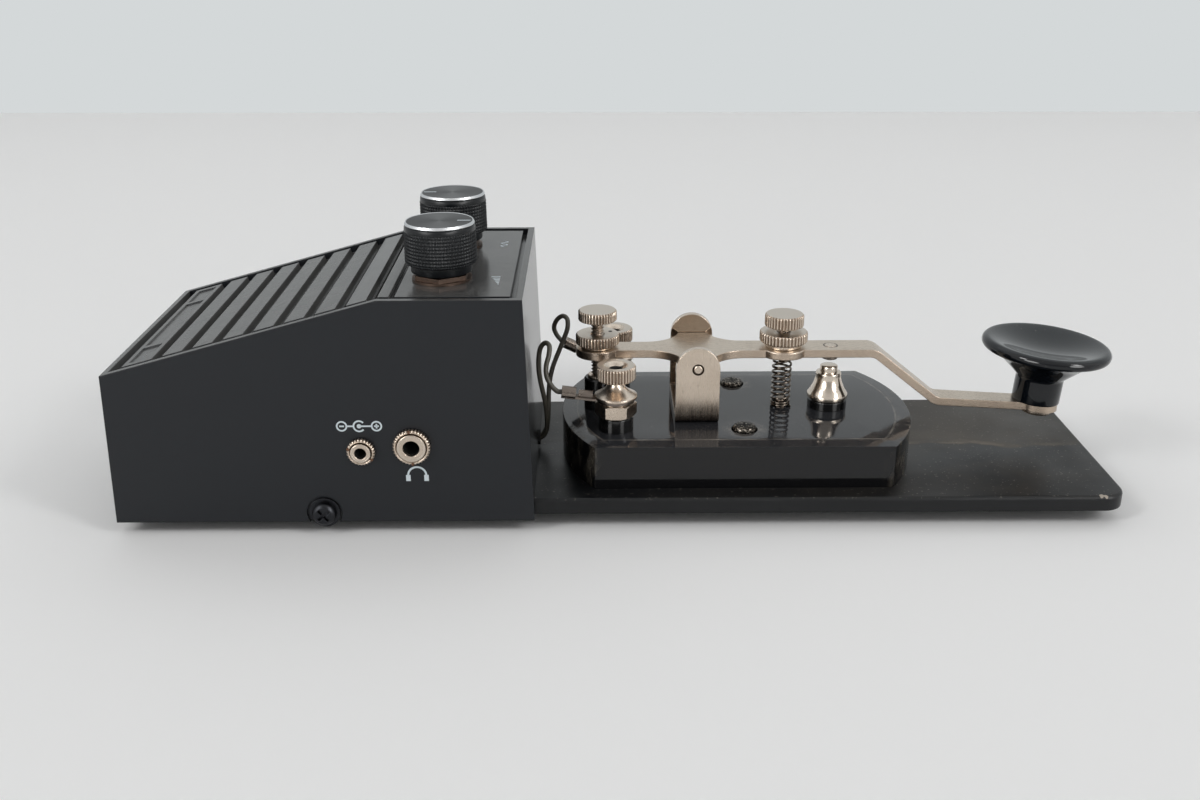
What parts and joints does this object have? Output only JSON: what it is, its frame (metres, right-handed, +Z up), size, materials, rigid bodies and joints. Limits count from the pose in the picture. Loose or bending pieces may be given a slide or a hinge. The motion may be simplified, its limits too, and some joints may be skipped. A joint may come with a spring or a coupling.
{
  "type": "morse code practice oscillator",
  "caption": "Straight telegraph key with a sprung lever on a steel plate, joined to a wedge-shaped tone box with a ribbed speaker grille, control knobs and plug sockets.",
  "frame": {"origin": "centre of the bounding box at the bottom, where the rubber feet rest", "axes": "+X along the plate from the tone box to the finger knob, +Y from the side with the sockets to the far side, +Z up"},
  "size_m": [0.2192, 0.0632, 0.0642],
  "materials": {
    "plate_paint": "satin black paint",
    "rubber": "matte",
    "case_plastic": "satin",
    "blackened_steel": "blackened, satin",
    "grille_cloth": "woven",
    "zinc_steel": "zinc plated",
    "cone_paper": "pressed paper",
    "battery_can": "satin, unlabelled",
    "black_plastic": "satin",
    "board_laminate": "phenolic paper laminate",
    "brass": "satin",
    "capacitor_sleeve": "shrunk sleeve",
    "resistor_body": "lacquered",
    "transformer_iron": "varnished laminations",
    "lead_pvc": "PVC",
    "pot_nut_brass": "tarnished",
    "aluminium": "turned",
    "knob_plastic": "gloss",
    "knob_trim": "dark spun face with a bright turned edge",
    "nickel": "warm satin nickel plate",
    "gloss_black": "high gloss",
    "spring_steel": "bright wire",
    "bush_black": "gloss",
    "tinned_copper": "dull tin plate",
    "wire_pvc": "grey-brown PVC"
  },
  "bodies": {
    "stand": {"base_plate": "plate_paint", "rubber_feet": "rubber", "case_shell": "case_plastic", "case_washers": "blackened_steel", "case_screws": "blackened_steel", "grille_cloth": "grille_cloth", "speaker_frame": "zinc_steel", "speaker_cone": "cone_paper", "speaker_clips": "zinc_steel", "battery": "battery_can", "battery_snap": "black_plastic", "battery_strap": "zinc_steel", "inner_screws": "zinc_steel", "circuit_board": "board_laminate", "board_spacers": "brass", "transistors": "black_plastic", "capacitors": "capacitor_sleeve", "resistors": "resistor_body", "output_transformer": "transformer_iron", "hookup_leads": "lead_pvc", "volume_pot": "zinc_steel", "tone_pot": "zinc_steel", "pot_nuts": "pot_nut_brass", "earphone_jack": "nickel", "earphone_nut": "nickel", "power_jack": "nickel", "power_nut": "nickel", "key_base": "gloss_black", "key_base_screws": "blackened_steel", "trunnion": "nickel", "trunnion_screws": "nickel", "pivot_pin": "nickel", "lever_spring": "spring_steel", "spring_seat": "nickel", "front_anvil": "nickel", "pedestals": "bush_black", "rear_contact": "nickel", "rear_pedestal": "bush_black", "binding_studs": "brass", "binding_nuts": "nickel", "ring_lugs": "tinned_copper", "key_wires": "wire_pvc", "wire_grommet": "rubber", "contact_straps": "brass"},
    "key_lever": {"lever": "nickel", "finger_knob": "gloss_black", "finger_knob_screw": "nickel", "upper_contact": "nickel"},
    "contact_adjuster": {"contact_screw": "nickel"},
    "contact_lock": {"contact_lock_nut": "nickel"},
    "spring_adjuster": {"spring_screw": "nickel"},
    "spring_lock": {"spring_lock_nut": "nickel"},
    "volume_control": {"volume_shaft": "aluminium", "volume_knob": "knob_plastic", "volume_knob_cap": "knob_trim"},
    "tone_control": {"tone_shaft": "aluminium", "tone_knob": "knob_plastic", "tone_knob_cap": "knob_trim"},
    "near_terminal": {"near_thumb_nut": "nickel"},
    "far_terminal": {"far_thumb_nut": "nickel"}
  },
  "joints": [
    {"name": "lever_press", "type": "hinge", "parent": "stand", "child": "key_lever", "pos_m": [0.01484, 0, 0.0299], "axis": [0, 1, 0], "range_deg": [0, 2.4], "stiffness_Nm_per_rad": 0.5, "springref_deg": -8.59, "deforming": ["lever_spring"]},
    {"name": "contact_screw_turn", "type": "hinge", "parent": "key_lever", "child": "contact_adjuster", "pos_m": [-0.00716, 0, 0.0315], "axis": [0, 0, 1], "range_deg": [-360, 360]},
    {"name": "contact_lock_turn", "type": "hinge", "parent": "key_lever", "child": "contact_lock", "pos_m": [-0.00716, 0, 0.0335], "axis": [0, 0, 1], "range_deg": [-360, 360]},
    {"name": "spring_screw_turn", "type": "hinge", "parent": "key_lever", "child": "spring_adjuster", "pos_m": [0.03489, 0, 0.0315], "axis": [0, 0, 1], "range_deg": [-360, 360]},
    {"name": "spring_lock_turn", "type": "hinge", "parent": "key_lever", "child": "spring_lock", "pos_m": [0.03489, 0, 0.0335], "axis": [0, 0, 1], "range_deg": [-360, 360]},
    {"name": "volume_turn", "type": "hinge", "parent": "stand", "child": "volume_control", "pos_m": [-0.03986, -0.0134, 0.0555], "axis": [0, 0, 1], "range_deg": [-300, 0]},
    {"name": "tone_turn", "type": "hinge", "parent": "stand", "child": "tone_control", "pos_m": [-0.03986, 0.0134, 0.0555], "axis": [0, 0, 1], "range_deg": [-150, 150]},
    {"name": "near_thumb_nut_turn", "type": "hinge", "parent": "stand", "child": "near_terminal", "pos_m": [-0.00326, -0.0127, 0.0245], "axis": [0, 0, 1], "range_deg": [-360, 360]},
    {"name": "far_thumb_nut_turn", "type": "hinge", "parent": "stand", "child": "far_terminal", "pos_m": [-0.00326, 0.0127, 0.0245], "axis": [0, 0, 1], "range_deg": [-360, 360]}
  ]
}
